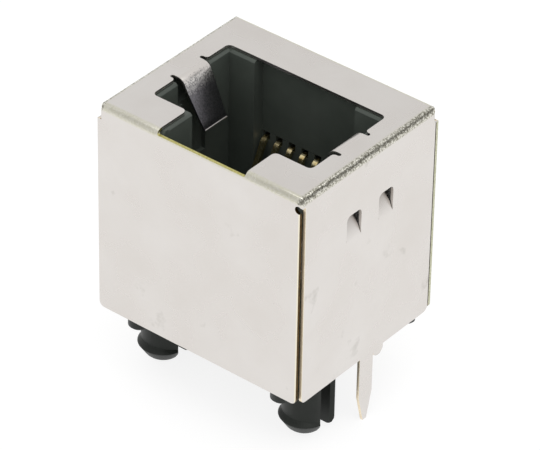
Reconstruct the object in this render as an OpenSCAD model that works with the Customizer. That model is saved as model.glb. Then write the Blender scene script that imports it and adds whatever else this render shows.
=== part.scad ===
// Vertical 8-position board jack in a folded metal shield.
// Origin: on the board surface, midway between the two snap-in pegs.
// +X runs along the contact row, +Y from the latch side to the contact side,
// +Z away from the board. All sizes are in millimetres.

/* [Overall] */
// Height of the closed top face above the board
total_h = 16.4; // [15.8:0.1:17.4]
// Distance from the line of the pegs to the front face of the shield
peg_setback = 3.85; // [3.65:0.05:4.25]

/* [Shield] */
// Width of the shield, along the contact row
shield_w = 15.9; // [15.7:0.1:17.2]
// Depth of the shield, from front face to back face
shield_d = 13.1; // [13:0.1:14]
// Gap between the board and the lower edge of the shield
shield_gap = 1.16; // [0.9:0.02:1.4]
// Thickness of the sheet
sheet = 0.2; // [0.16:0.02:0.26]
// Outside radius of the folds round the top face
bend_r = 0.5; // [0.4:0.05:0.65]
// Width of the square corner relief, along the contact row
relief_w = 0.3; // [0.25:0.05:0.4]
// Depth of the square corner relief, towards the back
relief_d = 0.4; // [0.3:0.05:0.5]
// Height of the corner reliefs, down from the top face
relief_h = 1.1; // [0.95:0.05:1.4]
// Radius of the round corner relief
relief_r = 0.27; // [0.2:0.01:0.3]
// How far a front or back wall stops short of one of its corners
wall_short = 0.22; // [0.2:0.01:0.26]
// Gap between two walls at a vertical seam
seam = 0.08; // [0.03:0.01:0.12]

/* [Mouth] */
// Width of the mouth cut in the shield
mouth_w = 12.28; // [12.1:0.02:12.6]
// Depth of the mouth cut in the shield, without the latch slot
mouth_d = 7.24; // [7.1:0.02:7.4]
// Distance from the front face to the near edge of the mouth
mouth_set = 2.84; // [2.7:0.02:3]
// Width of the latch slot in the shield
key_w = 6.8; // [6.6:0.05:7.2]
// Sideways offset of the mouth from the middle of the shield
mouth_shift = 0.12; // [0:0.02:0.2]
// Radius of the corners of the mouth
mouth_r = 0.35; // [0.25:0.05:0.5]
// How far the plastic mouth stands inside the metal one
lip = 0.22; // [0.15:0.01:0.3]
// Chamfer round the plastic mouth
rim = 0.14; // [0.1:0.02:0.2]

/* [Grounding tongues] */
// Width of a tongue at its root
tongue_w = 2.5; // [2.3:0.1:3]
// Width of a tongue at its tip
tongue_tip = 2.1; // [1.8:0.1:2.3]
// Length of the straight part of a tongue
tongue_len = 3.25; // [2.6:0.05:3.6]
// Outside radius of the bend at its root
tongue_r = 0.6; // [0.5:0.05:0.75]
// How far a tongue turns down from the top face, in degrees
tongue_turn = 63; // [58:1:68]
// Width of the relief notch on each side of a tongue
notch_w = 0.28; // [0.2:0.02:0.36]
// How far a relief notch runs beyond the edge of the mouth
notch_l = 0.45; // [0.35:0.05:0.55]

/* [Lances] */
// Width of a lance in a side wall
lance_w = 1.4; // [1.2:0.05:1.7]
// Height of a lance
lance_h = 1.8; // [1.6:0.05:2.2]
// Distance between the two lances of a wall
lance_pitch = 3.1; // [2.8:0.1:3.4]
// Distance from the top face to the sheared edge of a lance
lance_drop = 3.55; // [3.2:0.05:4]
// How far a lance leans into the housing, in degrees
lance_lean = 23; // [16:1:26]
// Radius of the upper corners of a lance and of its window
lance_r = 0.35; // [0.2:0.05:0.5]

/* [Ground pins] */
// Width of a ground pin at its root
gpin_w = 1.3; // [1.15:0.05:1.5]
// Width of a ground pin at its tip
gpin_tip = 0.35; // [0.25:0.05:0.55]
// Length of a ground pin below the board surface
gpin_len = 3.8; // [3:0.1:4.2]
// Height of its pointed end
gpin_point = 1.95; // [1.4:0.05:2.4]
// Distance from the line of the pegs to the ground pins
gpin_y = 2.85; // [2.4:0.05:3.2]

/* [Housing] */
// Clearance between the shield and the housing
fit = 0.05; // [0.03:0.01:0.1]
// Depth of the plug cavity below the top face
cavity_h = 11.2; // [10.8:0.1:11.6]
// Thickness of the plastic in front of the latch slot
key_wall = 0.6; // [0.5:0.05:0.8]
// Width between the two latch shoulders
latch_w = 4.2; // [4.1:0.05:4.4]
// Depth of a latch shoulder, from the front of the latch slot
latch_d = 0.9; // [0.7:0.05:1]
// Height of a latch shoulder
latch_h = 1.8; // [1.5:0.1:2.2]

/* [Board side] */
// Distance between the two pegs
peg_pitch = 11.43; // [11.2:0.01:11.6]
// Diameter of a peg
peg_d = 3.3; // [3.1:0.05:3.45]
// Length of a peg below the board surface
peg_len = 3.35; // [3:0.05:3.8]
// Width of the slot that splits a peg
peg_slot = 1.13; // [0.9:0.01:1.2]
// How far the barb of a peg stands out
barb = 0.34; // [0.24:0.02:0.4]
// Diameter of a standoff
standoff_d = 1.4; // [1.2:0.1:1.6]
// Distance from a peg to the standoff in front of it
standoff_set = 2.68; // [2.45:0.01:2.8]

/* [Contacts] */
// Distance between neighbouring contacts
pitch = 1.016; // [0.99:0.002:1.03]
// Width of a contact, along the row
wire_w = 0.34; // [0.28:0.02:0.4]
// Thickness of a contact
wire_t = 0.28; // [0.24:0.01:0.32]
// Lean of the contact springs from the vertical, in degrees
spring_lean = 27; // [24:1:29]
// Clearance round a contact in its channel
wire_fit = 0.02; // [0.01:0.01:0.03]
// Length of a contact tail below the board surface
tail_len = 3.1; // [2.6:0.1:3.4]
// Distance between the two rows of tails
tail_step = 2.54; // [2.4:0.02:2.6]
// Distance from the back face of the shield to the far row of tails
tail_inset = 0.9; // [0.8:0.02:1]

/* [Contact carrier] */
// Distance from the top face down to the carrier
carrier_drop = 5.77; // [5.5:0.01:6]
// Clearance between the carrier and the housing
carrier_fit = 0.04; // [0.03:0.01:0.08]

/* [Hidden] */
$fn = 48;
eps = 0.01;
over = 1;
lap = 6;
contact_count = 8;

// Shield, seen from its own middle
mid_y = shield_d / 2 - peg_setback;
front_y = -peg_setback;
back_y = shield_d - peg_setback;
wall_h = total_h - shield_gap;
corner_r = 0.4;
hole_set = 0.33;
hole_drop = 0.82;
key_drop = 0.33;
notch_round = 0.25;
lug_w = 0.75;
lug_h = 0.62;
lug_r = 0.5;
shear_gap = 0.04;
lance_len = (lance_h - shear_gap) / cos(lance_lean);
lance_reach = lance_len * sin(lance_lean) + sheet * cos(lance_lean);

// Mouth, cavity and latch slot
mouth_y0 = front_y + mouth_set;
mouth_y1 = mouth_y0 + mouth_d;
mouth_mid_y = (mouth_y0 + mouth_y1) / 2;
tongue_y = mouth_mid_y + 0.04;
cavity_w = mouth_w - 2 * lip;
cavity_y0 = mouth_y0 + lip;
cavity_y1 = mouth_y1 - lip;
floor_z = total_h - cavity_h;
key_y0 = front_y + sheet + fit + key_wall;
latch_top = 1.0;
key_open = 0.95;
tongue_room_w = tongue_tip + 0.1;
tongue_room_d = 0.3;
tongue_room_h = 6.4;

// Housing block inside the shield
house_w = shield_w - 2 * (sheet + fit);
house_y0 = front_y + sheet + fit;
house_y1 = back_y - sheet - fit;
house_z0 = shield_gap + 0.04;
house_z1 = total_h - sheet - fit;
top_chamfer = bend_r - sheet + fit;
side_chamfer = 0.25;
pocket_gap = 0.2;
foot_d = 0.9;
foot_inset = 0.25;
foot_gap = 0.2;

// Contacts
far_row_y = back_y - tail_inset;
near_row_y = far_row_y - tail_step;
row_w = (contact_count - 1) * pitch + wire_w;
recess_w = row_w + 0.36;
carrier_y0 = far_row_y - 1.48;
carrier_z1 = total_h - carrier_drop;
run_z = carrier_z1 - 0.4;
run_y = carrier_y0 + 0.1;
turn_r = 0.35;
hook_r = 0.45;
jog_z = house_z0 + 0.9;
spring_end_z = floor_z - 0.45;
comb_slot_w = 0.54;
comb_slot_h = 0.8;

// Contact carrier
carrier_w = row_w + 1.3;
foot_y0 = near_row_y - 0.75;
foot_z1 = house_z0 + 1.9;

// ---------- outlines ----------

// Rectangle that hangs from y = 0, with round upper corners
module arch_outline(w, h, r) {
    translate([-w / 2 + r, -h])
        square([w - 2 * r, h]);
    translate([-w / 2, -h])
        square([w, h - r]);
    for (side = [-1, 1])
        translate([side * (w / 2 - r), -r])
            circle(r);
}

// Rectangle from y = 0 up to y = d with four round corners
module round_rect(w, d, r) {
    translate([-w / 2 + r, 0])
        square([w - 2 * r, d]);
    translate([-w / 2, r])
        square([w, d - 2 * r]);
    for (x = [-1, 1], y = [r, d - r])
        translate([x * (w / 2 - r), y])
            circle(r);
}

// What is taken off to round an outer corner that lies at the origin,
// where the material is to the right and below
module corner_round(r) {
    difference() {
        translate([-eps, -r])
            square(r + eps);
        translate([r, -r])
            circle(r);
    }
}

// Bend in a strip, between two angles less than 160 degrees apart,
// with a thinner core that laps into the straight lengths on either side
module bend(r_out, r_in, a0, a1) {
    core = (r_out - r_in) / 4;
    ring_sector(r_out, r_in, a0, a1);
    ring_sector(r_out - core, r_in + core, a0 - lap, a1 + lap);
}

// Part of a ring between two angles less than 180 degrees apart
module ring_sector(r_out, r_in, a0, a1) {
    mid = (a0 + a1) / 2;
    intersection() {
        difference() {
            circle(r_out);
            circle(r_in);
        }
        polygon([[0, 0], 2 * r_out * [cos(a0), sin(a0)],
                 3 * r_out * [cos(mid), sin(mid)], 2 * r_out * [cos(a1), sin(a1)]]);
    }
}

// Straight length of strip from one centre-line point to another
module strip(from, to, t) {
    d = to - from;
    translate(from)
        rotate(atan2(d[1], d[0]))
            translate([0, -t / 2])
                square([norm(d), t]);
}

// ---------- shield ----------

// Block that reaches down from the top face, round along its upper edges,
// with inset taken off all its faces
module top_block(inset, depth) {
    r = bend_r - inset;
    w = shield_w - 2 * inset;
    d = shield_d - 2 * inset;
    translate([0, 0, -inset])
        intersection() {
            rotate([90, 0, 0])
                linear_extrude(d, center = true)
                    arch_outline(w, depth, r);
            rotate([90, 0, 90])
                linear_extrude(w, center = true)
                    arch_outline(d, depth, r);
        }
}

// Top face with the folds on its four sides, closed at the corners
module folded_top() {
    difference() {
        top_block(0, relief_h + eps);
        top_block(sheet, relief_h + over);
    }
}

// Flat wall below the folds, standing at y = 0, with round lower corners
module wall_plate(len) {
    translate([0, sheet, 0])
        rotate([90, 0, 0])
            linear_extrude(sheet)
                mirror([0, 1])
                    translate([0, wall_h])
                        arch_outline(len, wall_h - relief_h, corner_r);
}

// The end walls reach one corner and stop short of the other, the side walls stand between them
module walls() {
    for (turn = [0, 180])
        rotate(turn) {
            translate([-wall_short / 2, -shield_d / 2, 0])
                wall_plate(shield_w - wall_short);
            rotate(90)
                translate([0, -shield_w / 2, 0])
                    wall_plate(shield_d - 2 * (sheet + seam));
        }
}

// Corner reliefs: a square notch up through the folds at one corner of each end wall,
// and at its other corner a slit with a round hole that stops below the closed fold
module corner_reliefs() {
    slit_top = bend_r + 0.1;
    for (turn = [0, 180])
        rotate(turn) {
            translate([-shield_w / 2 - over, -shield_d / 2 - over, -relief_h])
                cube([relief_w + over, relief_d + over, relief_h + over]);
            translate([shield_w / 2 - wall_short, -shield_d / 2 - over, -relief_h - eps])
                cube([wall_short + over, sheet + seam + over, relief_h + eps - slit_top]);
            translate([shield_w / 2 - hole_set, -shield_d / 2, -hole_drop])
                rotate([90, 0, 0])
                    cylinder(r = relief_r, h = 2 * sheet + seam, center = true);
        }
}

// Everything that is punched out of the top face, with y = 0 at the near edge of the mouth
module punched_plan() {
    round_rect(mouth_w, mouth_d, mouth_r);
    translate([-key_w / 2, bend_r - mouth_set])
        square([key_w, mouth_set - bend_r + mouth_r]);
    for (side = [0, 1])
        mirror([side, 0]) {
            translate([key_w / 2, 0])
                corner_round(mouth_r);
            for (end = [0, 1])
                translate([mouth_w / 2, tongue_y - mouth_y0])
                    mirror([0, end])
                        translate([0, -tongue_w / 2 - notch_w])
                            tongue_notch();
        }
}

// Relief notch beside the root of a tongue, with a round end
module tongue_notch() {
    translate([-eps, 0])
        square([notch_l - notch_w / 2 + eps, notch_w]);
    translate([notch_l - notch_w / 2, notch_w / 2])
        circle(notch_w / 2);
    corner_round(notch_round);
}

// Mouth with the latch slot, cut through the front fold down to the front wall
module mouth_cut() {
    translate([0, mouth_y0 - mid_y, -sheet - over])
        linear_extrude(sheet + 2 * over)
            punched_plan();
    translate([0, bend_r - shield_d / 2 + eps, 0])
        rotate([90, 0, 0])
            linear_extrude(bend_r + over)
                mirror([0, 1])
                    translate([0, key_drop])
                        arch_outline(key_w, key_drop + over, key_drop - sheet);
}

// Tongue that bends down from the edge of the mouth, leaning into the plug space,
// narrower towards its tip
module tongue() {
    lean = 90 - tongue_turn;
    rotate([90, 0, 0])
        linear_extrude(tongue_w, center = true) {
            translate([-notch_l, -sheet])
                square([notch_l, sheet]);
            translate([0, -tongue_r])
                bend(tongue_r, tongue_r - sheet, lean, 90);
        }
    translate([0, 0, -tongue_r])
        rotate([90, -lean, 90])
            translate([0, 0, tongue_r - sheet])
                linear_extrude(sheet)
                    polygon([[-tongue_w / 2, 0], [-tongue_w / 2, -tongue_len / 8],
                             [-tongue_tip / 2, -tongue_len], [tongue_tip / 2, -tongue_len],
                             [tongue_w / 2, -tongue_len / 8], [tongue_w / 2, 0]]);
}

// Both lances of a side wall, drawn on a wall that stands at y = 0, or both windows
module lance_pair() {
    translate([0, 0, total_h - lance_drop])
        for (i = [-1, 1])
            translate([i * lance_pitch / 2, 0, 0])
                children();
}

// Window that a lance leaves in the wall, with round upper corners
module lance_window() {
    translate([0, sheet + over, 0])
        rotate([90, 0, 0])
            linear_extrude(sheet + 2 * over)
                arch_outline(lance_w, lance_h, lance_r);
}

// Lance: it stays joined at its lower edge and leans in towards the housing
module lance() {
    translate([0, 0, -lance_h])
        rotate([-lance_lean, 0, 0])
            translate([0, sheet, lance_len])
                rotate([90, 0, 0])
                    linear_extrude(sheet)
                        arch_outline(lance_w - 2 * shear_gap, lance_len, lance_r);
}

// Solder pin at the lower edge of a side wall, with a pointed end
module ground_pin() {
    root = 0.6;
    translate([0, sheet, 0])
        rotate([90, 0, 0])
            linear_extrude(sheet)
                polygon([[-gpin_w / 2, shield_gap + root], [-gpin_w / 2, gpin_point - gpin_len],
                         [-gpin_tip / 2, -gpin_len], [gpin_tip / 2, -gpin_len],
                         [gpin_w / 2, gpin_point - gpin_len], [gpin_w / 2, shield_gap + root]]);
}

// Lug beside the ground pin, rounded at its lower corner
module lug() {
    translate([-lug_w / 2, sheet, shield_gap])
        rotate([90, 0, 0])
            linear_extrude(sheet) {
                translate([lug_r, -lug_h])
                    square([lug_w - lug_r, lug_h + corner_r]);
                translate([0, lug_r - lug_h])
                    square([lug_w, lug_h - lug_r + corner_r]);
                translate([lug_r, lug_r - lug_h])
                    circle(lug_r);
            }
}

// What a side wall carries, drawn on a wall that stands at y = 0
module side_wall_parts() {
    lance_pair()
        lance();
    translate([gpin_y - mid_y, 0, 0])
        ground_pin();
    translate([gpin_y - mid_y + (gpin_w + lug_w) / 2, 0, 0])
        lug();
}

// Places its children, drawn for a wall with its outer face at y = 0, on both side walls
module on_side_walls(face_x) {
    for (side = [0, 1])
        mirror([side, 0, 0])
            translate([face_x, mid_y, 0])
                rotate(90)
                    children();
}

module shield() {
    color([0.86, 0.84, 0.82]) {
        difference() {
            translate([0, mid_y, total_h]) {
                folded_top();
                walls();
            }
            on_side_walls(shield_w / 2)
                lance_pair()
                    lance_window();
            translate([0, mid_y, total_h]) {
                corner_reliefs();
                translate([mouth_shift, 0, 0])
                    mouth_cut();
            }
        }
        translate([mouth_shift, tongue_y, total_h])
            for (turn = [0, 180])
                rotate(turn)
                    translate([-mouth_w / 2, 0, 0])
                        tongue();
        on_side_walls(shield_w / 2)
            side_wall_parts();
    }
}

// ---------- housing ----------

// Chamfer cut along a straight edge that runs along X
module edge_cut(len, c) {
    rotate([45, 0, 0])
        cube([len, c * sqrt(2), c * sqrt(2)], center = true);
}

// Outer block, chamfered to sit inside the folds of the shield
module house_block() {
    d = house_y1 - house_y0;
    h = house_z1 - house_z0;
    difference() {
        translate([-house_w / 2, house_y0, house_z0])
            cube([house_w, d, h]);
        translate([0, (house_y0 + house_y1) / 2, 0]) {
            for (y = [-1, 1])
                translate([0, y * d / 2, house_z1])
                    edge_cut(house_w + over, top_chamfer);
            for (x = [-1, 1])
                translate([x * house_w / 2, 0, house_z1])
                    rotate(90)
                        edge_cut(d + over, top_chamfer);
            for (x = [-1, 1], y = [-1, 1])
                translate([x * house_w / 2, y * d / 2, house_z1 - h / 2])
                    rotate([0, 90, 0])
                        edge_cut(h + over, side_chamfer);
        }
    }
}

// Plan of the plug cavity with the latch slot
module cavity_plan() {
    translate([-cavity_w / 2, cavity_y0])
        square([cavity_w, cavity_y1 - cavity_y0]);
    translate([-key_w / 2 + lip, key_y0])
        square([key_w - 2 * lip, cavity_y0 - key_y0 + eps]);
}

// Plug cavity, chamfered at its mouth
module cavity() {
    translate([0, 0, floor_z])
        linear_extrude(cavity_h)
            cavity_plan();
    translate([0, (cavity_y0 + cavity_y1) / 2, house_z1])
        for (x = [-1, 1])
            translate([x * cavity_w / 2, 0, 0])
                rotate(90)
                    edge_cut(cavity_y1 - cavity_y0 + 2 * rim, rim);
    for (x = [-1, 1])
        translate([x * (recess_w + cavity_w) / 4, cavity_y1, house_z1])
            edge_cut((cavity_w - recess_w) / 2, rim);
    translate([0, (key_y0 + cavity_y0) / 2, house_z1])
        for (x = [-1, 1])
            translate([x * (key_w / 2 - lip), 0, 0])
                rotate(90)
                    edge_cut(cavity_y0 - key_y0, rim);
}

// Shoulders in the latch slot that hold the latch of the plug
module latch_shoulders() {
    shoulder_w = (key_w - 2 * lip - latch_w) / 2;
    for (side = [0, 1])
        mirror([side, 0, 0])
            translate([latch_w / 2, key_y0 - eps, 0])
                rotate([90, 0, 90])
                    linear_extrude(shoulder_w + eps)
                        polygon([[0, house_z1 - latch_top], [latch_d, house_z1 - latch_top - latch_d],
                                 [latch_d, house_z1 - latch_top - latch_h],
                                 [0, house_z1 - latch_top - latch_h]]);
}

// Deep pocket between the two pilasters, in front of the contact carrier
module spring_recess() {
    translate([-recess_w / 2, cavity_y1 - eps, floor_z])
        cube([recess_w, carrier_y0 - cavity_y1 + 2 * eps, cavity_h]);
}

// Comb in the cavity floor that keeps the spring ends apart
module floor_comb() {
    for (i = [0 : contact_count - 1])
        translate([contact_x(i) - comb_slot_w / 2, spring_end_y - 0.5, floor_z - comb_slot_h])
            cube([comb_slot_w, carrier_y0 + eps - spring_end_y + 0.5, comb_slot_h + eps]);
}

// Pocket that takes the contact carrier from below and behind
module carrier_pocket() {
    carrier_shape(carrier_fit, over);
}

// Room behind each grounding tongue, with a narrower lower part for its tip
module tongue_rooms() {
    reach = notch_l + 0.1;
    drop = tongue_len * cos(90 - tongue_turn) * 0.6;
    for (x = [-1, 1]) {
        translate([x * (mouth_w / 2 + reach / 2 - lip), tongue_y, house_z1 - drop / 2])
            cube([reach + 2 * lip, tongue_w + 2 * notch_w, drop + 2 * eps], center = true);
        translate([x * cavity_w / 2, tongue_y, total_h - tongue_room_h / 2])
            cube([2 * tongue_room_d, tongue_room_w, tongue_room_h], center = true);
    }
}

// Lower edge of the front wall before the latch slot
module key_notch() {
    translate([lip - key_w / 2, house_y0 - over, house_z1 - key_open])
        cube([key_w - 2 * lip, key_wall + over + eps, key_open + over]);
}

// Room behind each lance of the shield
module lance_rooms() {
    on_side_walls(house_w / 2)
        lance_pair()
            translate([-lance_w / 2 - pocket_gap, -over, -lance_h - sheet])
                cube([lance_w + 2 * pocket_gap, lance_reach + pocket_gap - sheet - fit + over,
                      lance_h + sheet]);
}

// Half of a split peg, kept from its children, with a chamfer up both edges of the split
module prong(chamfer) {
    edge_x = sqrt(pow(peg_d / 2, 2) - pow(peg_slot / 2, 2)) - chamfer;
    intersection() {
        children();
        translate([0, 0, -peg_len - over])
            linear_extrude(peg_len + 2 * over)
                polygon([[-edge_x, peg_slot / 2], [edge_x, peg_slot / 2],
                         [edge_x + peg_d, peg_slot / 2 + peg_d],
                         [-edge_x - peg_d, peg_slot / 2 + peg_d]]);
    }
}

// Snap-in peg: split post with a barb on its front prong and a round end on its rear one
module peg() {
    r = peg_d / 2;
    point_h = 0.7;
    soft = 0.15;
    barb_z = soft + point_h - peg_len;
    barb_back = 0.35;
    split_top = house_z0 / 2;
    translate([0, 0, split_top - eps])
        cylinder(r = r, h = house_z0 - split_top + 2 * eps);
    mirror([0, 1])
        prong(soft) {
            translate([0, 0, barb_z])
                cylinder(r = r, h = split_top - barb_z);
            translate([0, barb, -peg_len])
                cylinder(r1 = r - 4 * soft, r2 = r - 3 * soft, h = soft + eps);
            translate([0, barb, soft - peg_len])
                cylinder(r1 = r - 3 * soft, r2 = r, h = point_h);
            translate([0, barb, barb_z])
                cylinder(r1 = r, r2 = r - barb, h = barb_back);
        }
    prong(2 * soft) {
        translate([0, 0, 3 * soft - peg_len])
            cylinder(r = r, h = split_top + peg_len - 3 * soft);
        translate([0, 0, soft - peg_len])
            cylinder(r1 = r - soft, r2 = r, h = 2 * soft + eps);
        translate([0, 0, -peg_len])
            cylinder(r1 = r - 3 * soft, r2 = r - soft, h = soft + eps);
    }
}

// Standoff: short round post that ends at height z
module standoff(d, z) {
    soft = 0.15;
    translate([0, 0, z + soft])
        cylinder(d = d, h = house_z0 - z - soft + eps);
    translate([0, 0, z])
        cylinder(d1 = d - 2 * soft, d2 = d, h = soft + eps);
}

module board_side() {
    for (x = [-1, 1]) {
        translate([x * peg_pitch / 2, 0, 0])
            peg();
        translate([x * peg_pitch / 2, -standoff_set, 0])
            standoff(standoff_d, 0);
        translate([x * (house_w / 2 - foot_d / 2 - foot_inset), house_y1 - foot_d / 2 - foot_inset, 0])
            standoff(foot_d, foot_gap);
    }
}

module housing() {
    color([0.16, 0.18, 0.17]) {
        difference() {
            house_block();
            translate([mouth_shift, 0, 0]) {
                cavity();
                spring_recess();
                floor_comb();
                carrier_pocket();
                tongue_rooms();
                key_notch();
            }
            lance_rooms();
        }
        translate([mouth_shift, 0, 0])
            latch_shoulders();
        board_side();
    }
}

// ---------- contacts ----------

// Place of a contact along the row, counted from zero at the left
function contact_x(i) = (i - (contact_count - 1) / 2) * pitch;

// Centre line of the spring: end of the hook, then the free end near the floor
hook_end = [run_y - hook_r * cos(spring_lean), run_z - hook_r * (1 - sin(spring_lean))];
spring_end_y = hook_end[0] - (hook_end[1] - spring_end_z) * tan(spring_lean);

// Side view of a contact, y to the right and z up; near_row bends its tail forwards
module contact_outline(t, near_row) {
    strip([far_row_y - turn_r, run_z], [run_y, run_z], t);
    translate([far_row_y - turn_r, run_z - turn_r])
        bend(turn_r + t / 2, turn_r - t / 2, 0, 90);
    translate([run_y, run_z - hook_r])
        bend(hook_r + t / 2, hook_r - t / 2, 90, 180 - spring_lean);
    strip(hook_end, [spring_end_y, spring_end_z], t);
    if (near_row) {
        strip([far_row_y, run_z - turn_r], [far_row_y, jog_z + turn_r], t);
        translate([far_row_y - turn_r, jog_z + turn_r])
            bend(turn_r + t / 2, turn_r - t / 2, 270, 360);
        strip([far_row_y - turn_r, jog_z], [near_row_y + turn_r, jog_z], t);
        translate([near_row_y + turn_r, jog_z - turn_r])
            bend(turn_r + t / 2, turn_r - t / 2, 90, 180);
        strip([near_row_y, jog_z - turn_r], [near_row_y, -tail_len], t);
    } else {
        strip([far_row_y, run_z - turn_r], [far_row_y, -tail_len], t);
    }
}

// One contact, with extra clearance all round when it cuts its channel
module contact(i, grow) {
    translate([contact_x(i), 0, 0])
        rotate([90, 0, 90])
            linear_extrude(wire_w + 2 * grow, center = true)
                contact_outline(wire_t + 2 * grow, i % 2 == 1);
}

module placed_contact(i) {
    color([0.86, 0.7, 0.36])
        translate([mouth_shift, 0, 0])
            contact(i, 0);
}

module contact_1() { placed_contact(0); }
module contact_2() { placed_contact(1); }
module contact_3() { placed_contact(2); }
module contact_4() { placed_contact(3); }
module contact_5() { placed_contact(4); }
module contact_6() { placed_contact(5); }
module contact_7() { placed_contact(6); }
module contact_8() { placed_contact(7); }

// ---------- contact carrier ----------

// Upright block behind the springs with a foot under the cavity;
// grow is the clearance round it and reach runs it out behind and below
module carrier_shape(grow, reach) {
    w = carrier_w + 2 * grow;
    translate([-w / 2, carrier_y0 - grow, house_z0 - reach])
        cube([w, house_y1 - carrier_y0 + grow + reach, carrier_z1 + grow - house_z0 + reach]);
    translate([-w / 2, foot_y0 - grow, house_z0 - reach])
        cube([w, house_y1 - foot_y0 + grow + reach, foot_z1 + grow - house_z0 + reach]);
}

// Slots in the upper edge, in which the contacts turn over towards the plug
module carrier_comb() {
    for (i = [0 : contact_count - 1])
        translate([contact_x(i) - comb_slot_w / 2, carrier_y0 - over, run_z - wire_t / 2 - wire_fit])
            cube([comb_slot_w, far_row_y - carrier_y0 - turn_r + over, carrier_drop]);
}

module contact_carrier() {
    color([0.2, 0.22, 0.21])
        translate([mouth_shift, 0, 0])
            difference() {
                carrier_shape(0, 0);
                carrier_comb();
                for (i = [0 : contact_count - 1])
                    contact(i, wire_fit);
            }
}

// ---------- what is drawn ----------

shield();
housing();
contact_carrier();
contact_1();
contact_2();
contact_3();
contact_4();
contact_5();
contact_6();
contact_7();
contact_8();
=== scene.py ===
# %% [markdown]
# # A shielded network jack, dressed for its portrait
# This lesson takes a finished CAD model of an upright eight-contact jack and gives it the
# looks of the real one. The CAD model is the frame: its sizes stay, and each piece made
# here stands exactly where one of its nodes does.
#
# The real jack is three crafts in one: a shield stamped from thin plated brass and folded
# into a box, a black moulding inside it, and eight sprung contacts plated with gold.

# %% Load the frame
import math

import bpy
from mathutils import Matrix, Vector
from mathutils.bvhtree import BVHTree


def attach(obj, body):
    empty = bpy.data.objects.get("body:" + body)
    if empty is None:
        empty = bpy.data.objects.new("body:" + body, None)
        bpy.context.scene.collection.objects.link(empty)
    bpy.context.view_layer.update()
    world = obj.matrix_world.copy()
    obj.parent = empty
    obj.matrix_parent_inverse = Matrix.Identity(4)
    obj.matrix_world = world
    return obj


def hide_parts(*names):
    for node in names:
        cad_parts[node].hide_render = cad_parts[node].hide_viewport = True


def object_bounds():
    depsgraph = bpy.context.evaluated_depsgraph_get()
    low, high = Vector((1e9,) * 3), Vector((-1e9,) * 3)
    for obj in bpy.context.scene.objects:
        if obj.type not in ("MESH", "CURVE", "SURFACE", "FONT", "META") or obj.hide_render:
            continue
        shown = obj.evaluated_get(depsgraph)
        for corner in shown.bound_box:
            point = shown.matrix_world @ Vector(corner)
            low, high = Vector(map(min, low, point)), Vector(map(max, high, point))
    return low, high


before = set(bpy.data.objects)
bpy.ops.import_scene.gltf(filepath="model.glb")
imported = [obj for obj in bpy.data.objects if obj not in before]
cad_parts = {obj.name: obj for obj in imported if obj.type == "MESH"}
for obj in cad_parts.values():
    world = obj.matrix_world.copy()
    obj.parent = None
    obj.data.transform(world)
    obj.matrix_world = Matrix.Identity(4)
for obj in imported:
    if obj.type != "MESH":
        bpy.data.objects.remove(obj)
cad_box = [list(corner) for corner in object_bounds()]
MM = 0.001
print("nodes:", ", ".join(sorted(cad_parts)))
print("size in mm:", [round((hi - lo) / MM, 2) for lo, hi in zip(*cad_box)])

# %% [markdown]
# ## Where the eye is
# Small parts are looked at from well back through a long lens, so their edges stay almost
# parallel. The camera looks down on the mouth from the front right, from about a quarter of
# a metre away, and is turned a degree about its own axis.

# %% The camera
AZIMUTH, ELEVATION, ROLL = 38.519, 35.776, 1.068
AIM = Vector((2.839, -0.492, 10.481)) * MM
DISTANCE = 246.83 * MM
LENS = 273.21


def look_from(azimuth, elevation, roll):
    """Turn of a camera that looks back along that direction, tipped by roll."""
    return (Matrix.Rotation(math.radians(azimuth), 3, "Z")
            @ Matrix.Rotation(math.radians(90 - elevation), 3, "X")
            @ Matrix.Rotation(math.radians(roll), 3, "Z"))


turn = look_from(AZIMUTH, ELEVATION, ROLL)
bpy.ops.object.camera_add(location=AIM + turn @ Vector((0, 0, DISTANCE)), rotation=turn.to_euler())
camera = bpy.context.object
camera.name = "camera"
camera.data.lens = LENS
camera.data.sensor_width = 36
camera.data.clip_start = 0.01
bpy.context.scene.camera = camera
print("camera at, in mm:", [round(v / MM, 1) for v in camera.location])

# %% [markdown]
# ## A way to write materials
# Colours are picked on a screen, so they are written as the screen shows them, in hex, and
# one function turns them into the linear light that Blender adds up. A second small
# function adds a node with its settings and its links, so that a material reads as a recipe.

# %% Colour and node helpers
def colour(text):
    """Linear colour of an sRGB hex code."""
    parts = [int(text[i:i + 2], 16) / 255 for i in (0, 2, 4)]
    linear = [p / 12.92 if p <= 0.04045 else ((p + 0.055) / 1.055) ** 2.4 for p in parts]
    return (*linear, 1.0)


def add(tree, kind, sockets=None, **settings):
    """A new node: sockets maps an input to a value or to the output that feeds it."""
    node = tree.nodes.new(kind)
    for name, value in settings.items():
        setattr(node, name, value)
    for name, value in (sockets or {}).items():
        if isinstance(value, bpy.types.NodeSocket):
            tree.links.new(value, node.inputs[name])
        else:
            node.inputs[name].default_value = value
    return node


def new_material(name, **shader_sockets):
    """A material with its surface shader, and the place on the object in metres."""
    material = bpy.data.materials.new(name)
    material.use_nodes = True
    tree = material.node_tree
    shader = tree.nodes["Principled BSDF"]
    for socket, value in shader_sockets.items():
        shader.inputs[socket.replace("_", " ")].default_value = value
    place = add(tree, "ShaderNodeTexCoord").outputs["Object"]
    return material, tree, shader, place


def two_tones(tree, value, low, low_hex, high, high_hex):
    """Colour that goes from one tone to another as value goes from low to high."""
    ramp = add(tree, "ShaderNodeValToRGB", {"Fac": value})
    first, last = ramp.color_ramp.elements
    first.position, first.color = low, colour(low_hex)
    last.position, last.color = high, colour(high_hex)
    return ramp.outputs["Color"]


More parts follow.
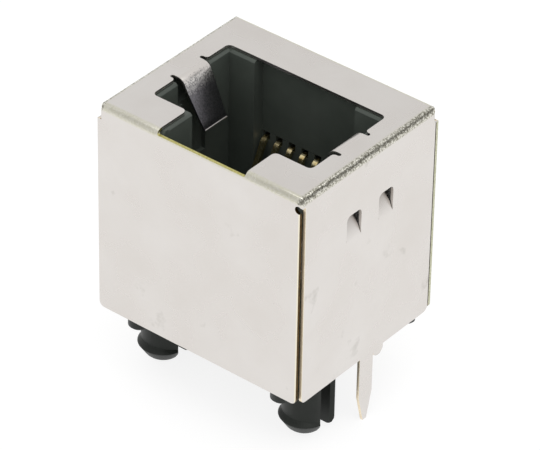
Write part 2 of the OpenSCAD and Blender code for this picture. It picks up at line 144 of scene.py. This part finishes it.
def blend(tree, factor, a, b, kind="MIX"):
    """Two colours laid over each other."""
    mix = add(tree, "ShaderNodeMix", {"Factor": factor}, data_type="RGBA", blend_type=kind)
    for socket, value in ((mix.inputs[6], a), (mix.inputs[7], b)):
        if isinstance(value, bpy.types.NodeSocket):
            tree.links.new(value, socket)
        else:
            socket.default_value = value
    return mix.outputs[2]


def noise(tree, place, size, detail=2.0, roughness=0.5):
    """Value of a cloudy pattern whose patches are about size across."""
    return add(tree, "ShaderNodeTexNoise", {"Vector": place, "Scale": 1 / size, "Detail": detail,
                                            "Roughness": roughness}).outputs["Fac"]


def bump(tree, shader, height, strength, depth, under=None):
    """Fine relief on a surface, over another one if given."""
    sockets = {"Height": height, "Strength": strength, "Distance": depth}
    if under:
        sockets["Normal"] = under
    relief = add(tree, "ShaderNodeBump", sockets).outputs["Normal"]
    tree.links.new(relief, shader.inputs["Normal"])
    return relief


print("mid grey in linear light:", round(colour("808080")[0], 3))

# %% [markdown]
# ## Where things are
# Some finishes belong to one region only: the cracks to the folds, the grey haze to the
# inside of the moulding. Each node keeps its place in the frame, so a region can be told
# from the object coordinates, with a few sums that turn a length in metres into a mask.

# %% Masks from places
def ramp_up(tree, value, start, end):
    """Mask that is 0 at start and 1 at end, and stays so beyond them; both in metres."""
    return add(tree, "ShaderNodeMapRange", {"Value": value, "From Min": start, "From Max": end}).outputs["Result"]


def sums(tree, operation, a, b=0.0):
    """One sum of two numbers or sockets."""
    return add(tree, "ShaderNodeMath", {0: a, 1: b}, operation=operation).outputs[0]


def both(tree, *masks):
    """Mask of what lies in all the given masks."""
    result = masks[0]
    for mask in masks[1:]:
        result = sums(tree, "MULTIPLY", result, mask)
    return result


def sway(tree, value, width):
    """Length that wanders about nought by a share of width, as value goes from 0 to 1."""
    return sums(tree, "MULTIPLY", sums(tree, "SUBTRACT", value, 0.5), width)


def axes(tree, place):
    """The three lengths of a place."""
    return add(tree, "ShaderNodeSeparateXYZ", {"Vector": place}).outputs


TOP = cad_box[1][2]
FRONT_Y = cad_box[0][1]
HALF_W = (cad_box[1][0] - cad_box[0][0]) / 2
MID_Y = (cad_box[1][1] + cad_box[0][1]) / 2
HALF_D = (cad_box[1][1] - cad_box[0][1]) / 2
FOLD = 0.5 * MM
SHEET = 0.2 * MM
MOUTH_X = (-6.02 * MM, 6.26 * MM)
TONGUE_Y = 2.65 * MM
LANCE_TOP, LANCE_LOW = TOP - 3.4 * MM, TOP - 5.6 * MM
print("top face at", round(TOP / MM, 2), "mm, folds", round(FOLD / MM, 2), "mm wide")

# %% [markdown]
# ## Tin over brass
# The shield is brass sheet, 0.2 mm thick, plated with matt tin. Plating hides the yellow of
# the brass and leaves a warm silver with a soft sheen. Rolling leaves a faint cloudiness
# some millimetres across, and handling a few greyer smudges. The front and back folds are
# painted a darker olive cream, a painted shade of the darker surroundings that the bends
# mirror. On the side folds, which cross the grain of the sheet, the plating cracks into
# bright and dark grains, with one dark line that wanders along their middle. By the closed
# seams a creamier tone is a painted highlight of the seam's edge, and the lances get a
# painted shade as they go in.

# %% The plated sheet
tin, tree, shader, place = new_material("matt_tin_plate", Metallic=1.0)
x, y, z = axes(tree, place)
aside = sums(tree, "ABSOLUTE", x)
along = sums(tree, "SUBTRACT", y, MID_Y)
away = sums(tree, "ABSOLUTE", along)
side = sums(tree, "SUBTRACT", aside, HALF_W - FOLD)
end = sums(tree, "SUBTRACT", away, HALF_D - FOLD)

clouds = noise(tree, place, 4.5 * MM, 3.0, 0.55)
smudges = noise(tree, place, 2.4 * MM, 4.0, 0.6)
base = blend(tree, 1.0, two_tones(tree, clouds, 0.3, "dad5d0", 0.7, "e1ddd9"),
             two_tones(tree, smudges, 0.66, "ffffff", 0.8, "dededb"), "MULTIPLY")

EASE = (0.02 * MM, 0.16 * MM)
on_fold = both(tree, ramp_up(tree, sums(tree, "MAXIMUM", side, end), *EASE),
               ramp_up(tree, z, TOP - FOLD, TOP - FOLD + 0.12 * MM))
on_side_fold = both(tree, on_fold, ramp_up(tree, side, *EASE), 0.75)
cracks = noise(tree, place, 0.13 * MM, 3.0, 0.75)
# Painted shade: the darker olive cream of the front and back folds stands for the darker surroundings the bends
# mirror; the cracked grains of the side folds are the plating's own.
folded = blend(tree, on_side_fold, two_tones(tree, cracks, 0.35, "cfccb8", 0.6, "dedbce"),
               two_tones(tree, cracks, 0.45, "4f4c3b", 0.56, "f1efe4"))
off_middle = sums(tree, "SUBTRACT", side, sums(tree, "SUBTRACT", z, TOP - FOLD))
wander = sway(tree, noise(tree, place, 0.3 * MM, 3.0, 0.8), 1.1 * MM)
off_line = sums(tree, "ABSOLUTE", sums(tree, "ADD", off_middle, wander))
folded = blend(tree, both(tree, on_side_fold, ramp_up(tree, off_line, 0.12 * MM, 0.05 * MM)),
               folded, colour("4b4837"))
base = blend(tree, sums(tree, "MULTIPLY", on_fold, 0.9), base, folded)

# Painted highlight: a cream tone on the tin by the closed seams, for the bright edge of the seam.
SEAM_ZONE = (0.16 * MM, 0.2 * MM)
closed_corner = ramp_up(tree, sums(tree, "MULTIPLY", x, along), -1 * MM * MM, -2 * MM * MM)
seam_painted_highlight = both(tree, closed_corner, ramp_up(tree, side, *SEAM_ZONE), ramp_up(tree, end, *SEAM_ZONE),
               ramp_up(tree, z, TOP - 0.8 * MM, TOP - 1.0 * MM))
base = blend(tree, seam_painted_highlight, base, colour("f4ecd6"))

# Painted shade: the lances are darkened where they lean into the wall.
lance_painted_shade = both(tree, ramp_up(tree, aside, HALF_W - 0.02 * MM, HALF_W - 0.5 * MM),
                ramp_up(tree, aside, HALF_W - 1.2 * MM, HALF_W - 1.1 * MM),
                ramp_up(tree, z, TOP - 3 * MM, TOP - 3.2 * MM), ramp_up(tree, away, 3 * MM, 2.9 * MM))
base = blend(tree, lance_painted_shade, base, blend(tree, 1.0, base, colour("c9c7c6"), "MULTIPLY"))
tree.links.new(base, shader.inputs["Base Color"])

sheen = add(tree, "ShaderNodeMapRange", {"Value": clouds, "From Min": 0.3, "From Max": 0.7,
                                         "To Min": 0.25, "To Max": 0.31}).outputs["Result"]
tree.links.new(sheen, shader.inputs["Roughness"])
skin = bump(tree, shader, noise(tree, place, 0.09 * MM, 2.0, 0.6), 0.15, 0.01 * MM)
bump(tree, shader, cracks, sums(tree, "MULTIPLY", on_fold, 0.5), 0.03 * MM, under=skin)
print("made", tin.name)

# %% [markdown]
# ## Where the sheet is cut
# A punch shears the sheet after plating, so a cut edge shows the brass: pale where light
# falls on it and yellow-green along the front of the latch slot, where it is widest. Inside
# a seam it is painted dark brown, and at the rear corners olive, both painted shade.

# %% The raw edge of the sheet
brass, tree, shader, place = new_material("sheared_brass_edge", Metallic=1.0, Roughness=0.4)
x, y, z = axes(tree, place)
aside = sums(tree, "ABSOLUTE", x)
to_rear = sums(tree, "SUBTRACT", y, MID_Y)
drag = noise(tree, place, 0.12 * MM)
# Painted shade: dark brown on the end faces inside a seam, and olive on the cut ends at the rear corners.
seam_painted_shade = ramp_up(tree, aside, HALF_W - 0.199 * MM, HALF_W - 0.204 * MM)
rear_edge_painted_shade = both(tree, ramp_up(tree, aside, HALF_W - 0.1 * MM, HALF_W - 0.05 * MM),
               ramp_up(tree, to_rear, HALF_D - 0.24 * MM, HALF_D - 0.2 * MM))
at_top = ramp_up(tree, z, TOP - 0.6 * MM, TOP - 0.4 * MM)
raw = two_tones(tree, drag, 0.35, "f0e0c2", 0.7, "fff2dc")
for region, darker, lighter in ((seam_painted_shade, "3d3017", "6b5630"), (rear_edge_painted_shade, "b5b596", "d6d5bf"),
                                (at_top, "b4ab66", "d6d08f")):
    raw = blend(tree, region, raw, two_tones(tree, drag, 0.35, darker, 0.7, lighter))
tree.links.new(raw, shader.inputs["Base Color"])
print("made", brass.name)

# %% [markdown]
# ## Tin on the tongues, painted light and shade
# The two grounding tongues are bent the most, and every plug rubs them. Their bend is
# painted bright, with a coarse sparkle, a painted highlight; the straight part is painted a
# dark steel grey, a painted shade for the dark inside that it mirrors.

# %% Tin on the sprung tongues
tongue_tin, tree, shader, place = new_material("tongue_tin_painted_light_and_shade", Metallic=1.0, Roughness=0.3)
specks = noise(tree, place, 0.12 * MM, 3.0, 0.7)
height = sums(tree, "ADD", axes(tree, place)[2], sway(tree, specks, 0.9 * MM))
# Painted shade on the straight part, dark steel grey; painted highlight on the bend, bright with sparkle and palest
# at the root.
painted_light_and_shade = blend(tree, ramp_up(tree, height, TOP - 1.1 * MM, TOP - 0.3 * MM),
             two_tones(tree, specks, 0.35, "6c6a6e", 0.65, "8f8d92"),
             two_tones(tree, specks, 0.4, "9c9a99", 0.56, "e9e6e2"))
painted_light_and_shade = blend(tree, ramp_up(tree, height, TOP - 0.3 * MM, TOP - 0.15 * MM), painted_light_and_shade, colour("dcd7d2"))
tree.links.new(painted_light_and_shade, shader.inputs["Base Color"])
bump(tree, shader, specks, 0.3, 0.01 * MM)
print("made", tongue_tin.name)

# %% [markdown]
# ## Black moulding
# The housing is glass-filled PBT, moulded in a spark-eroded tool, so its surface is an
# even, very fine grain that scatters light into a grey-green haze rather than a gloss. Above
# the pegs the moulding is painted a lighter grey-green, painted light for the dim cavity;
# the pegs below are blacker. In the rooms behind the lances, pale specks on the plastic are
# painted light as well.

# %% The moulded plastic
pbt, tree, shader, place = new_material("black_moulded_pbt", IOR=1.53, Roughness=0.45, Specular_IOR_Level=0.3)
x, y, z = axes(tree, place)
fine = noise(tree, place, 0.06 * MM)
broad = noise(tree, place, 2.0 * MM)
# Painted light: the moulding above the pegs is a lighter grey-green, standing in for light in the dim cavity.
moulded = blend(tree, ramp_up(tree, z, 1.3 * MM, 3.0 * MM),
                two_tones(tree, broad, 0.3, "1b1f1b", 0.7, "232823"),
                two_tones(tree, broad, 0.3, "4b514b", 0.7, "535953"))
# Painted light: pale specks on the plastic in the rooms behind the lances.
lance_room_painted_light = both(tree, ramp_up(tree, sums(tree, "ABSOLUTE", x), HALF_W - 1.4 * MM, HALF_W - 1.3 * MM),
                ramp_up(tree, z, TOP - 3 * MM, TOP - 3.2 * MM), ramp_up(tree, z, TOP - 6.1 * MM, TOP - 6 * MM))
moulded = blend(tree, lance_room_painted_light, moulded, two_tones(tree, fine, 0.4, "4a4a48", 0.62, "c4c2be"))
tree.links.new(moulded, shader.inputs["Base Color"])
bump(tree, shader, fine, 0.2, 0.008 * MM)
print("made", pbt.name)

# %% [markdown]
# ## Gold
# The contacts are drawn from phosphor bronze and plated with gold, which shows the faint
# streaks of drawing as paler and deeper yellow.

# %% Gold on the contacts
gold, tree, shader, place = new_material("gold_plated_bronze", Metallic=1.0, Roughness=0.25)
draw = noise(tree, place, 0.2 * MM)
tree.links.new(two_tones(tree, draw, 0.3, "e2c785", 0.7, "fbf0c6"), shader.inputs["Base Color"])
print("made", gold.name)

# %% [markdown]
# ## Dressing the nodes
# A CAD edge is perfectly sharp and a real one never is: the small radius on it is what
# catches the light. Each main node is copied, its loose triangles are joined into faces,
# and a narrow bevel goes round its edges.

# %% A rounded copy of a node
SOFT_ANGLE = math.radians(35)
EDGE_ANGLE = math.radians(40)


def pick(piece):
    """Make a piece the active one and the only one selected."""
    bpy.ops.object.select_all(action="DESELECT")
    bpy.context.view_layer.objects.active = piece
    piece.select_set(True)


def modify(piece, name, kind, **settings):
    """Give a piece a modifier with its settings, and apply it."""
    modifier = piece.modifiers.new(name, kind)
    for setting, value in settings.items():
        setattr(modifier, setting, value)
    bpy.ops.object.modifier_apply(modifier=name)


def edit(operator, **settings):
    """Run one mesh operator on the whole of the active piece."""
    bpy.ops.object.mode_set(mode="EDIT")
    bpy.ops.mesh.select_all(action="SELECT")
    operator(**settings)
    bpy.ops.object.mode_set(mode="OBJECT")


def rounded_copy(node, name, width, finish):
    """Copy of a CAD node, joined up and finished by the function finish, then bevelled."""
    piece = bpy.data.objects.new(name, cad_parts[node].data.copy())
    bpy.context.collection.objects.link(piece)
    pick(piece)
    piece.data.materials.clear()
    edit(bpy.ops.mesh.remove_doubles, threshold=0.0005 * MM)
    finish(piece)
    edit(bpy.ops.mesh.dissolve_limited, angle_limit=math.radians(0.5), delimit={"MATERIAL"})
    modify(piece, "edge", "BEVEL", width=width, segments=2, limit_method="ANGLE", angle_limit=EDGE_ANGLE, material=0)
    bpy.ops.object.shade_smooth_by_angle(angle=SOFT_ANGLE)
    modify(piece, "even", "WEIGHTED_NORMAL", keep_sharp=True)
    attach(piece, "root")
    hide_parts(node)
    print(name, "has", len(piece.data.polygons), "faces")
    return piece


# %% [markdown]
# ## The shield
# One sheet, punched, plated and folded. Its copy gets tin on its faces and brass on the
# edges where it was cut, found by looking how far the metal goes on behind each face. The
# two tongues are cut off at the edge of the mouth: they get pieces of their own below.

# %% The shield, with raw edges
def plated_over(point):
    """Whether a cut face is one that plating covers: the mouth's rim, a fold's end or a lance."""
    rim = point.z > TOP - 0.4 * MM and point.y > FRONT_Y + FOLD and abs(point.x) < HALF_W - 1.2 * MM
    fold_end = point.z > TOP - 0.7 * MM and abs(point.x) > HALF_W - 0.7 * MM
    lance = abs(point.y - MID_Y) < 3 * MM and LANCE_LOW < point.z < LANCE_TOP
    return rim or fold_end or lance


def free_the_tongues(piece):
    """Cut the two tongues off at the edge of the mouth, with a block on each side."""
    block = Vector((2.5, 5.8, 4.8)) * MM
    middle = TOP - 2.2 * MM
    for edge, inward in zip(MOUTH_X, (1, -1)):
        reach = inward * (block.x / 2 + 0.005 * MM)
        bpy.ops.mesh.primitive_cube_add(size=1.0, location=(edge + reach, TONGUE_Y, middle))
        cutter = bpy.context.object
        cutter.scale = block
        bpy.ops.object.transform_apply(location=True, rotation=False, scale=True)
        pick(piece)
        modify(piece, "cut", "BOOLEAN", operation="DIFFERENCE", solver="EXACT", object=cutter)
        bpy.data.objects.remove(cutter)


def tin_and_brass(piece):
    """Brass where the metal behind a face runs deeper than the sheet is thick."""
    free_the_tongues(piece)
    piece.data.materials.clear()
    piece.data.materials.append(tin)
    piece.data.materials.append(brass)
    inside = BVHTree.FromPolygons([v.co for v in piece.data.vertices], [p.vertices for p in piece.data.polygons])
    for face in piece.data.polygons:
        place, _, _, depth = inside.ray_cast(face.center - face.normal * 0.01 * MM, -face.normal)
        cut = place is None or depth > 1.6 * SHEET
        face.material_index = 1 if cut and not plated_over(face.center) else 0


shield = rounded_copy("shield", "shield_plated", 0.03 * MM, tin_and_brass)

# %% [markdown]
# ## The grounding tongues
# Each side of the mouth ends in a tongue of the same sheet, bent down into the plug space,
# where it touches the metal of a plug. It tapers, and the shear that cut it left a bright
# burr across its tip. A tongue is a strip along a line: two straight lengths and an arc.
# A grid gives the strip, a solidify modifier its thickness and a bevel its soft edges.

# %% A strip that follows the bend
BEND_R, TURN, REACH = 0.6 * MM, math.radians(63), 3.25 * MM
ROOT_W, TIP_W = 2.5 * MM, 2.1 * MM
BEND_STEPS, BLADE_STEPS = 12, 6
SINK = 0.002 * MM
BURR_R = 0.045 * MM


def tongue_line():
    """Points of the middle of the sheet, from the root to the tip, as (inward, down) pairs."""
    middle = BEND_R - SHEET / 2
    points = [(-0.05 * MM, SHEET / 2)]
    for i in range(BEND_STEPS + 1):
        angle = TURN * i / BEND_STEPS
        points.append((middle * math.sin(angle), BEND_R - middle * math.cos(angle)))
    inward, down = points[-1]
    for i in range(1, BLADE_STEPS + 1):
        length = REACH * i / BLADE_STEPS
        points.append((inward + math.cos(TURN) * length, down + math.sin(TURN) * length))
    return points


def join_shield(piece, material):
    """Soft shading, a material and a place on the body, for a piece of the shield."""
    bpy.ops.object.shade_smooth_by_angle(angle=SOFT_ANGLE)
    piece.data.materials.append(material)
    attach(piece, "root")


def bent_tongue(name, edge, inward):
    """Tongue at one edge of the mouth; inward is 1 for the left one and -1 for the right one."""
    line = tongue_line()
    last = len(line) - 1
    bpy.ops.object.select_all(action="DESELECT")
    bpy.ops.mesh.primitive_grid_add(x_subdivisions=last, y_subdivisions=1, size=2.0)
    piece = bpy.context.object
    piece.name = name
    for vertex in piece.data.vertices:
        step = round((vertex.co.x + 1) / 2 * last)
        along, down = line[step]
        taper = max(0.0, min(1.0, (step - BEND_STEPS - 2) / (BLADE_STEPS - 1)))
        width = ROOT_W + (TIP_W - ROOT_W) * taper
        vertex.co = (edge + inward * along, TONGUE_Y + vertex.co.y * width / 2, TOP - down - SINK)
    modify(piece, "sheet", "SOLIDIFY", thickness=SHEET, offset=0.0)
    modify(piece, "edge", "BEVEL", width=0.03 * MM, segments=2, limit_method="ANGLE", angle_limit=EDGE_ANGLE)
    edit(bpy.ops.mesh.normals_make_consistent, inside=False)
    join_shield(piece, tongue_tin)
    return line[last]


def tip_burr(name, edge, inward, tip):
    """Fine round burr along the upper edge of the tip of a tongue."""
    along, down = tip
    bpy.ops.object.select_all(action="DESELECT")
    bpy.ops.mesh.primitive_cylinder_add(vertices=16, radius=BURR_R, depth=TIP_W - 0.04 * MM,
                                        rotation=(math.pi / 2, 0, 0))
    piece = bpy.context.object
    piece.name = name
    bpy.ops.object.transform_apply(location=True, rotation=True, scale=True)
    across = along + math.sin(TURN) * SHEET / 2 - 0.02 * MM
    above = math.cos(TURN) * SHEET / 2 + 0.03 * MM - down
    piece.data.transform(Matrix.Translation(Vector((edge + inward * across, TONGUE_Y, TOP + above))))
    join_shield(piece, tin)


for word, edge, inward in (("left", MOUTH_X[0], 1), ("right", MOUTH_X[1], -1)):
    tip = bent_tongue("grounding_tongue_" + word, edge, inward)
    tip_burr("tongue_burr_" + word, edge, inward, tip)
print("tongues reach", round(tip[0] / MM, 2), "mm in and", round(tip[1] / MM, 2), "mm down")

# %% [markdown]
# ## The housing and what it holds
# The housing is one moulding, with broader edges than the sheet because melt doesn't fill a
# sharp corner. The carrier and the contacts behind it are small and mostly hidden, so they
# keep their CAD shapes and only get their finishes.

# %% The housing
housing = rounded_copy("housing", "housing_moulded", 0.07 * MM, lambda piece: piece.data.materials.append(pbt))

# %% The carrier and the contacts keep their CAD shapes
for name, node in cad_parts.items():
    if name == "contact_carrier" or name.startswith("contact_"):
        node.data.materials.clear()
        node.data.materials.append(pbt if name == "contact_carrier" else gold)
print("dressed the carrier and the contacts")

# %% [markdown]
# ## Floor and light
# The jack stands on a white table in a light tent: soft white from all sides, a little more
# from above right, so that the mouth reads as a dark hollow and the metal as pale silver.

# %% The floor
bpy.ops.mesh.primitive_plane_add(size=2.0, location=(0, 0, cad_box[0][2] - 0.01 * MM))
floor = bpy.context.object
floor.name = "floor"
table, tree, shader, place = new_material("white_table", Roughness=0.9, Specular_IOR_Level=0.0)
shader.inputs["Base Color"].default_value = colour("808080")
shader.inputs["Emission Color"].default_value = (1, 1, 1, 1)
rays = add(tree, "ShaderNodeLightPath").outputs
seen = sums(tree, "MAXIMUM", rays["Is Camera Ray"],
            sums(tree, "MAXIMUM", rays["Is Glossy Ray"], rays["Is Transmission Ray"]))
tree.links.new(sums(tree, "MULTIPLY", seen, 0.84), shader.inputs["Emission Strength"])
floor.data.materials.append(table)
print("the floor keeps the shadow of the jack")

# %% [markdown]
# ## The tent
# Metal shows what stands round it, so the tent is drawn, not just switched on: white all
# round, with two dimmer places. One is up in front on the left, where the front fold looks,
# and one to the right at the back, where the right fold looks. They draw the dark lines
# that make the folds read as round.

# %% The light
world = bpy.data.worlds.new("white_tent")
bpy.context.scene.world = world
world.use_nodes = True
tree = world.node_tree
way = add(tree, "ShaderNodeTexCoord").outputs["Generated"]


def dim_place(direction, inner, outer, depth):
    """Share of light left in a round dim place of the tent, given by two angles in degrees."""
    toward = add(tree, "ShaderNodeVectorMath", {0: way, 1: Vector(direction).normalized()},
                 operation="DOT_PRODUCT").outputs["Value"]
    return add(tree, "ShaderNodeMapRange", {"Value": toward, "From Min": math.cos(math.radians(outer)),
                                            "From Max": math.cos(math.radians(inner)),
                                            "To Min": 1.0, "To Max": 1 - depth}).outputs["Result"]


tent = both(tree, dim_place((-0.5, -0.59, 0.63), 8, 26, 0.3), dim_place((0.59, 0.63, 0.5), 4, 14, 0.75), 0.85)
rays = add(tree, "ShaderNodeLightPath").outputs
backdrop = tree.nodes["Background"]
backdrop.inputs["Color"].default_value = (1, 1, 1, 1)
tree.links.new(sums(tree, "MAXIMUM", tent, rays["Is Camera Ray"]), backdrop.inputs["Strength"])

SOFT_TOP = Vector((0.35, -0.25, 1.0)).normalized()
bpy.ops.object.light_add(type="AREA", location=SOFT_TOP * 0.5, rotation=SOFT_TOP.to_track_quat("Z", "Y").to_euler())
light = bpy.context.object
light.name = "soft_top"
light.data.size = 0.4
light.data.energy = 0.6
print("lit")

# %% Finish
bpy.context.scene.view_settings.view_transform = "Standard"
bpy.context.view_layer.update()
